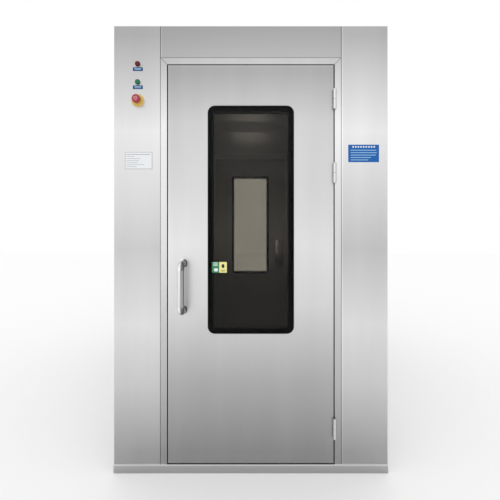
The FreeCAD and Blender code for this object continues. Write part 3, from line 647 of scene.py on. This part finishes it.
class AirShowerLooks(bpy.types.PropertyGroup):
    """Looks of the cabin."""

    # Scales the steel's greys, the painted shade and reflection in them as well
    tone: bpy.props.FloatProperty(
        name="Steel tone", description="Scale of the greys of the brushed steel",
        default=1.0, min=0.5, max=1.2, subtype="FACTOR",
    )
    red_lens: colour_setting("Red lens", "Colour of the upper indicator's lens", tint(92, 8, 14))
    green_lens: colour_setting("Green lens", "Colour of the lower indicator's lens", tint(10, 104, 76))
    stop_guard: colour_setting("Stop guard", "Colour of the emergency stop's disc", tint(216, 188, 98))
    stop_head: colour_setting("Stop head", "Colour of the mushroom head", tint(158, 50, 60))
    plate: colour_setting("Plate", "Colour of the large plate on the right", tint(26, 94, 166))
    grip_radius: bpy.props.FloatProperty(
        name="Grip radius", description="Radius of the pull handles' tube",
        default=HANDLE_RADIUS, min=5 * MM, max=20 * MM, unit="LENGTH",
    )
    grip_sides: bpy.props.IntProperty(
        name="Grip sides", description="Flat sides around the pull handles' tube", default=48, min=12,
    )


class AirShowerStage(bpy.types.PropertyGroup):
    """Studio around the cabin."""

    distance: bpy.props.FloatProperty(
        name="Camera distance", description="Distance of the camera from the front face",
        default=1.46, min=1.0, unit="LENGTH",
    )
    frame_width: bpy.props.FloatProperty(
        name="Frame width", description="Width of the picture at the front face",
        default=2.3765, min=1.0, unit="LENGTH",
    )
    eye_height: bpy.props.FloatProperty(
        name="Eye height", description="Height of the camera above the floor",
        default=1.158, min=0.1, unit="LENGTH",
    )
    key_power: bpy.props.FloatProperty(
        name="Key power", description="Power of the large front lamp", default=17.0, min=0.0, unit="POWER",
    )
    ambient: bpy.props.FloatProperty(
        name="Ambient", description="Strength of the world's soft light", default=1.0, min=0.0,
    )


class AIRSHOWER_OT_surfaces(bpy.types.Operator):
    """Give every node of the cabin its material"""

    bl_idname = "airshower.surfaces"
    bl_label = "Finish surfaces"

    def execute(self, context):
        looks = context.scene.airshower_looks
        grain_group()
        mottle_group()
        make_steels(looks.tone)
        make_coats(looks)
        for node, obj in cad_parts.items():
            material = bpy.data.materials[NODE_MATERIALS[own_name(node)]]
            obj.data.materials.clear()
            obj.data.materials.append(material)
        return {"FINISHED"}


class AIRSHOWER_OT_furniture(bpy.types.Operator):
    """Build the pull handles, push plates and door halves of the hinges"""

    bl_idname = "airshower.furniture"
    bl_label = "Door furniture"

    def execute(self, context):
        looks = context.scene.airshower_looks

        def grip(bm):
            low_foot = (HANDLE_X, LEAF_Y, HANDLE_Z - HANDLE_HALF)
            rise = 2 * HANDLE_HALF
            add_pull(bm, low_foot, rise, HANDLE_OUT, HANDLE_BEND, looks.grip_radius, looks.grip_sides)
            for end in (-1, 1):
                add_turned(bm, HANDLE_FOOT, (HANDLE_X, LEAF_Y, HANDLE_Z + end * HANDLE_HALF))

        def push_plate(bm):
            low = Vector((HANDLE_X - PUSH_PLATE.x / 2, LEAF_HI.y, HANDLE_Z - PUSH_PLATE.z / 2))
            add_block(bm, low, low + PUSH_PLATE, 0.5 * MM)

        def door_halves(bm):
            for middle in HINGE_HEIGHTS:
                add_barrel(bm, middle, 1)

        pulls = make_both_ends("pull_handle", grip, "Handle chrome", DOORS)
        make_both_ends("push_plate", push_plate, "Polished steel", DOORS)
        make_both_ends("hinge_door_halves", door_halves, "Hinge steel", DOORS)
        for pull, node in zip(pulls, ("front_door_furniture", "rear_door_furniture")):
            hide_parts(node)
        return {"FINISHED"}


def add_barrel(bm, middle, side):
    """Adds half of a hinge: its barrel with a softened end and its plate in the door gap."""
    start = middle + side * HINGE_SPLIT
    r, length = HINGE_RADIUS / MM, HINGE_HALF_LENGTH / MM
    outline = ((0, 0), (r - 0.6, 0), (r, 0.6), (r, length - 1.5), (r - 1.5, length), (0, length))
    add_turned(bm, outline, (HINGE_X, HINGE_Y, start), (0, 0, side), 48)
    low_z, high_z = sorted((start, start + side * HINGE_HALF_LENGTH))
    low_x, high_x = sorted((HINGE_X - side * HINGE_PLATE_FAR, HINGE_X - side * HINGE_PLATE_NEAR))
    add_block(bm, (low_x, HINGE_Y, low_z), (high_x, HINGE_Y + HINGE_PLATE_DEPTH, high_z))


class AIRSHOWER_OT_hinges(bpy.types.Operator):
    """Build the frame halves of the hinges"""

    bl_idname = "airshower.hinges"
    bl_label = "Hinge frame halves"

    def execute(self, context):
        def frame_halves(bm):
            for middle in HINGE_HEIGHTS:
                add_barrel(bm, middle, -1)

        made = make_both_ends(
            "hinge_halves_on_frame", frame_halves, "Hinge steel", CABIN_ENDS
        )
        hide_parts("front_hinge_frame_halves")
        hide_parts("rear_hinge_frame_halves")
        return {"FINISHED"}


class AIRSHOWER_OT_indicators(bpy.types.Operator):
    """Build the bezels and domed lenses of the indicator lamps"""

    bl_idname = "airshower.indicators"
    bl_label = "Indicator lamps"

    def execute(self, context):
        def bezels(bm):
            for height in (RED_Z, GREEN_Z):
                add_turned(bm, BEZEL, (CONTROLS_X, FRONT_Y, height))

        dome = [(0, 0), (LENS_RADIUS, 0), (LENS_RADIUS, LENS_SIDE)]
        for k in range(1, 8):
            turn = math.pi / 2 * k / 8
            dome.append((LENS_RADIUS * math.cos(turn), LENS_SIDE + LENS_DOME * math.sin(turn)))
        dome.append((0, LENS_SIDE + LENS_DOME))

        def lens(height):
            return lambda bm: add_turned(bm, dome, (CONTROLS_X, FRONT_Y, height))

        rims = make_both_ends("lamp_bezels", bezels, "Polished steel", CABIN_ENDS)
        reds = make_both_ends("red_dome", lens(RED_Z), "Red lens", CABIN_ENDS)
        greens = make_both_ends("green_dome", lens(GREEN_Z), "Green lens", CABIN_ENDS)
        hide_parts("indicator_bezels")
        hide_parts("red_lenses")
        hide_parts("green_lenses")
        return {"FINISHED"}


def add_arrow(bm, place, start, steps=8):
    """Adds a curved turning arrow on the face of the emergency stop's head."""
    inner, outer, wide, narrow = 5.6 * MM, 8.0 * MM, 9.6 * MM, 4.0 * MM
    sweep = math.radians(62)
    turns = [start + sweep * k / steps for k in range(steps + 1)]
    tip = start + sweep + math.radians(34)
    rim = [(outer, t) for t in turns] + [(wide, turns[-1]), ((inner + outer) / 2, tip)]
    rim += [(narrow, turns[-1])] + [(inner, t) for t in reversed(turns)]
    x, y, z = place
    face = y - STOP_TIP * MM - FILM
    add_outline(bm, [(x + r * math.cos(t), face, z + r * math.sin(t)) for r, t in rim], FILM)


class AIRSHOWER_OT_stop(bpy.types.Operator):
    """Build the emergency stop: its guard disc, collar and mushroom head"""

    bl_idname = "airshower.stop"
    bl_label = "Emergency stop"

    def execute(self, context):
        place = (CONTROLS_X, FRONT_Y, STOP_Z)
        bm = bmesh.new()
        add_turned(bm, STOP_GUARD, place, steps=96)
        guard = make_piece("stop_guard_disc", bm, "Yellow plastic", "cabin")
        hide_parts("stop_guard")

        bm = bmesh.new()
        add_turned(bm, STOP_HEAD, place, steps=96)
        head = make_piece("stop_mushroom", bm, "Red plastic", "stop_button")
        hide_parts("stop_head")

        bm = bmesh.new()
        for i in range(3):
            add_arrow(bm, place, i * math.tau / 3)
        make_piece("stop_turn_arrows", bm, "Arrow pink", "stop_button")
        return {"FINISHED"}


def make_sheet(name, material, body, plates=(), bars=()):
    """Makes a thin piece of rounded plates and rows of bars.

    A plate is its centre, then width, height, depth and corner radius in millimetres.
    """
    bm = bmesh.new()
    for centre, width, height, depth, corner in plates:
        add_plate(bm, centre, width * MM, height * MM, depth * MM, corner * MM)
    for row in bars:
        add_bars(bm, *row)
    make_piece(name, bm, material, body)


def make_lamp_plates():
    """Makes the two plates under the indicator lamps."""
    plates, bars = [], []
    for height in (RED_Z, GREEN_Z):
        z = height - LAMP_PLATE_DROP
        plates.append(((CONTROLS_X, FRONT_Y, z), 47, 17, 0.8, 2))
        bars.append(((CONTROLS_X, FRONT_Y - PLATE_DEPTH, z), ((34, 3.4), (30, 2.4)), 5.4))
    make_sheet("lamp_plates", "Label navy", "cabin", plates)
    make_sheet("lamp_plate_bars", "Label pale blue", "cabin", bars=bars)


def make_white_plate():
    """Makes the white plate on the left, with its grey rim."""
    x, z = WHITE_PLATE
    rim = ((x, FRONT_Y, z), 129, 81, 0.5, 2)
    plate = ((x, FRONT_Y - 0.5 * MM, z), 125, 77, 0.3, 1.5)
    sizes = [(112, 2.4)] + [(width, 1.6) for width in (38, 66, 60, 54, 84, 48)]
    lines = ((x, FRONT_Y - PLATE_DEPTH, z), sizes, 9.6, -58)
    make_sheet("white_plate_rim", "Label grey", "cabin", [rim])
    make_sheet("white_plate", "Label white", "cabin", [plate])
    make_sheet("white_plate_lines", "Label grey", "cabin", bars=[lines])


def make_blue_plate():
    """Makes the blue plate on the right, with a row of dots above its bars."""
    x, z = BLUE_PLATE
    plate = ((x, FRONT_Y, z), 146, 83, 0.8, 2)
    face = FRONT_Y - PLATE_DEPTH
    dots = [((x + (i - 4) * 12.5 * MM, face, z + 31 * MM), 8, 8, 0.3, 3.5) for i in range(9)]
    sizes = [(width, 3.2) for width in (122, 124, 120, 96, 84)]
    lines = ((x, face, z - 8 * MM), sizes, 11.5, -62)
    make_sheet("blue_plate", "Label blue", "cabin", [plate])
    make_sheet("blue_plate_dots", "Label white", "cabin", dots)
    make_sheet("blue_plate_lines", "Label pale blue", "cabin", bars=[lines])


def make_stickers():
    """Makes the green and the yellow sticker in the window's lower corner."""
    z = STICKER_Z
    face = LEAF_Y - FILM
    green = ((GREEN_STICKER_X, LEAF_Y, z), 34, 51, 0.3, 1.5)
    yellow = ((YELLOW_STICKER_X, LEAF_Y, z), 36, 51, 0.3, 1.5)
    oval = ((GREEN_STICKER_X + 2 * MM, face, z - 12 * MM), 20, 15, 0.3, 7)
    green_bars = ((GREEN_STICKER_X, face, z + 15 * MM), ((20, 3), (20, 3), (20, 3)), 6)
    blot = ((YELLOW_STICKER_X, face, z + 6 * MM), 13, 18, 0.3, 5)
    yellow_bars = ((YELLOW_STICKER_X, face, z - 16 * MM), ((24, 2), (18, 2)), 5)
    make_sheet("green_sticker", "Sticker green", "front_door", [green])
    make_sheet("yellow_sticker", "Sticker yellow", "front_door", [yellow])
    make_sheet("green_sticker_marks", "Label white", "front_door", [oval], [green_bars])
    make_sheet("yellow_sticker_marks", "Ink black", "front_door", [blot], [yellow_bars])


class AIRSHOWER_OT_labels(bpy.types.Operator):
    """Build the lamp plates, the white and blue plates and the window's two stickers, all without words"""

    bl_idname = "airshower.labels"
    bl_label = "Labels and plates"

    def execute(self, context):
        make_lamp_plates()
        make_white_plate()
        make_blue_plate()
        make_stickers()
        return {"FINISHED"}


class AIRSHOWER_OT_nozzles(bpy.types.Operator):
    """Build the jet nozzles with their rounded rims and flared throats"""

    bl_idname = "airshower.nozzles"
    bl_label = "Jet nozzles"

    def execute(self, context):
        for side, into in (("left", 1), ("right", -1)):
            low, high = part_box(f"{side}_nozzles")
            wall = low.x if side == "left" else high.x
            rise = (high.z - low.z - 2 * NOZZLE_RADIUS) / (NOZZLE_ROWS - 1)
            bm = bmesh.new()
            for y in (low.y + NOZZLE_RADIUS, high.y - NOZZLE_RADIUS):
                for row in range(NOZZLE_ROWS):
                    place = (wall, y, low.z + NOZZLE_RADIUS + row * rise)
                    add_turned(bm, NOZZLE, place, (into, 0, 0), 72)
            name = f"{side}_turned_nozzles"
            piece = make_piece(name, bm, "Polished steel", "cabin")
            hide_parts(f"{side}_nozzles")
        return {"FINISHED"}


class AIRSHOWER_OT_controls(bpy.types.Operator):
    """Build the face of the control panel inside: a screen and two rows of keys"""

    bl_idname = "airshower.controls"
    bl_label = "Control panel face"

    def execute(self, context):
        low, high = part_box("control_panel")
        middle = (low + high) / 2
        wall, out = (low.x, -1) if low.x > 0 else (high.x, 1)

        def add_key(bm, across, up, width, height, depth):
            place = Vector((wall + out * depth / 2 * MM, middle.y + across * MM, middle.z + up * MM))
            half = Vector((depth, width, height)) / 2 * MM
            add_block(bm, place - half, place + half, 0.2 * MM)

        screen, keys = bmesh.new(), bmesh.new()
        add_key(screen, 0, 42, 104, 56, 0.6)
        for up in (-18, -46):
            for column in range(4):
                add_key(keys, (column - 1.5) * 27, up, 18, 14, 1.2)
        make_piece("panel_screen", screen, "Screen glass", "cabin")
        make_piece("panel_keys", keys, "Label white", "cabin")
        return {"FINISHED"}


class AIRSHOWER_OT_fixings(bpy.types.Operator):
    """Build the screws of the return grilles"""

    bl_idname = "airshower.fixings"
    bl_label = "Fixings"

    def execute(self, context):
        low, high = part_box("return_grilles")
        bm = bmesh.new()
        for side in (-1, 1):
            x = side * (high.x - GRILLE_THICKNESS)
            for y in (low.y + SCREW_INSET, 0, high.y - SCREW_INSET):
                for z in (low.z + SCREW_INSET, high.z - SCREW_INSET):
                    add_turned(bm, SCREW_HEAD, (x, y, z), (-side, 0, 0), 24)
        make_piece("screw_heads", bm, "Polished steel", "cabin")
        return {"FINISHED"}


def add_area(name, place, target, size, power):
    """Adds a soft rectangular lamp that faces a point."""
    data = bpy.data.lights.new(name, "AREA")
    data.shape = "RECTANGLE"
    data.size, data.size_y = size
    data.energy = power
    lamp = bpy.data.objects.new(name, data)
    lamp.location = place
    aim = Vector(target) - Vector(place)
    lamp.rotation_euler = aim.to_track_quat("-Z", "Y").to_euler()
    bpy.context.scene.collection.objects.link(lamp)
    return lamp


def add_floor():
    """Adds a wide pale floor just under the plinth."""
    graph, surface, _ = new_material("Studio floor")
    graph.feed(surface.inputs["Base Color"], (0.98, 0.98, 0.98, 1.0))
    graph.feed(surface.inputs["Roughness"], 0.9)
    bm = bmesh.new()
    bmesh.ops.create_grid(bm, x_segments=1, y_segments=1, size=FLOOR_HALF)
    mesh = bpy.data.meshes.new("studio_floor")
    bm.to_mesh(mesh)
    bm.free()
    mesh.materials.append(bpy.data.materials["Studio floor"])
    floor = bpy.data.objects.new("studio_floor", mesh)
    floor.location = (0, 0, -FLOOR_DROP)
    bpy.context.scene.collection.objects.link(floor)
    return floor


def add_camera(stage):
    """Adds the level camera in front of the door, shifted to take in the whole front."""
    data = bpy.data.cameras.new("Front camera")
    data.sensor_width = SENSOR_WIDTH
    data.lens = SENSOR_WIDTH * stage.distance / stage.frame_width
    data.shift_y = (FRAME_MIDDLE_Z - stage.eye_height) / stage.frame_width
    camera = bpy.data.objects.new("Front camera", data)
    camera.location = (FRAME_MIDDLE_X, FRONT_Y - stage.distance, stage.eye_height)
    camera.rotation_euler = (math.pi / 2, 0, 0)
    bpy.context.scene.collection.objects.link(camera)
    return camera


def make_world(ambient):
    """Pale background where it is seen, and a softer light everywhere else."""
    world = bpy.data.worlds.new("Pale studio")
    world.use_nodes = True
    bpy.context.scene.world = world
    graph = Graph(world.node_tree)
    rays = graph.add("ShaderNodeLightPath")
    seen = graph.math("MAXIMUM", rays.outputs["Is Camera Ray"], rays.outputs["Is Transmission Ray"])
    seen = graph.math("MAXIMUM", seen, rays.outputs["Is Glossy Ray"])
    back = world.node_tree.nodes["Background"]
    graph.feed(back.inputs["Color"], (1.0, 1.0, 1.0, 1.0))
    graph.feed(back.inputs["Strength"], graph.spread(seen, ambient, 1.0))


class AIRSHOWER_OT_stage(bpy.types.Operator):
    """Set up the floor, the pale world, the soft lamps and the camera"""

    bl_idname = "airshower.stage"
    bl_label = "Studio stage"

    def execute(self, context):
        stage = context.scene.airshower_stage
        floor = add_floor()
        make_world(stage.ambient)
        key = add_area("Key", *KEY_LAMP, stage.key_power)
        fill = add_area("Fill", *FILL_LAMP, stage.key_power / 2)
        camera = add_camera(stage)
        context.scene.camera = camera
        context.scene.view_settings.view_transform = "Standard"
        return {"FINISHED"}


class AIRSHOWER_PT_sidebar(bpy.types.Panel):
    """Settings and steps of the air shower's finish"""

    bl_label = "Air shower"
    bl_idname = "AIRSHOWER_PT_sidebar"
    bl_space_type = "VIEW_3D"
    bl_region_type = "UI"
    bl_category = "Air shower"

    def draw(self, context):
        for group in (context.scene.airshower_looks, context.scene.airshower_stage):
            box = self.layout.box()
            for name in group.bl_rna.properties.keys():
                if name not in ("rna_type", "name"):
                    box.prop(group, name)
        for operator in OPERATORS:
            self.layout.operator(operator.bl_idname)


OPERATORS = (
    AIRSHOWER_OT_surfaces,
    AIRSHOWER_OT_furniture,
    AIRSHOWER_OT_hinges,
    AIRSHOWER_OT_indicators,
    AIRSHOWER_OT_stop,
    AIRSHOWER_OT_labels,
    AIRSHOWER_OT_nozzles,
    AIRSHOWER_OT_controls,
    AIRSHOWER_OT_fixings,
    AIRSHOWER_OT_stage,
)
GROUPS = (AirShowerLooks, AirShowerStage)


def register():
    for cls in GROUPS + OPERATORS + (AIRSHOWER_PT_sidebar,):
        bpy.utils.register_class(cls)
    bpy.types.Scene.airshower_looks = bpy.props.PointerProperty(type=AirShowerLooks)
    bpy.types.Scene.airshower_stage = bpy.props.PointerProperty(type=AirShowerStage)


def unregister():
    del bpy.types.Scene.airshower_stage
    del bpy.types.Scene.airshower_looks
    for cls in reversed(GROUPS + OPERATORS + (AIRSHOWER_PT_sidebar,)):
        bpy.utils.unregister_class(cls)


def main():
    register()
    for operator in OPERATORS:
        group, name = operator.bl_idname.split(".")
        getattr(getattr(bpy.ops, group), name)()


if __name__ == "__main__":
    main()
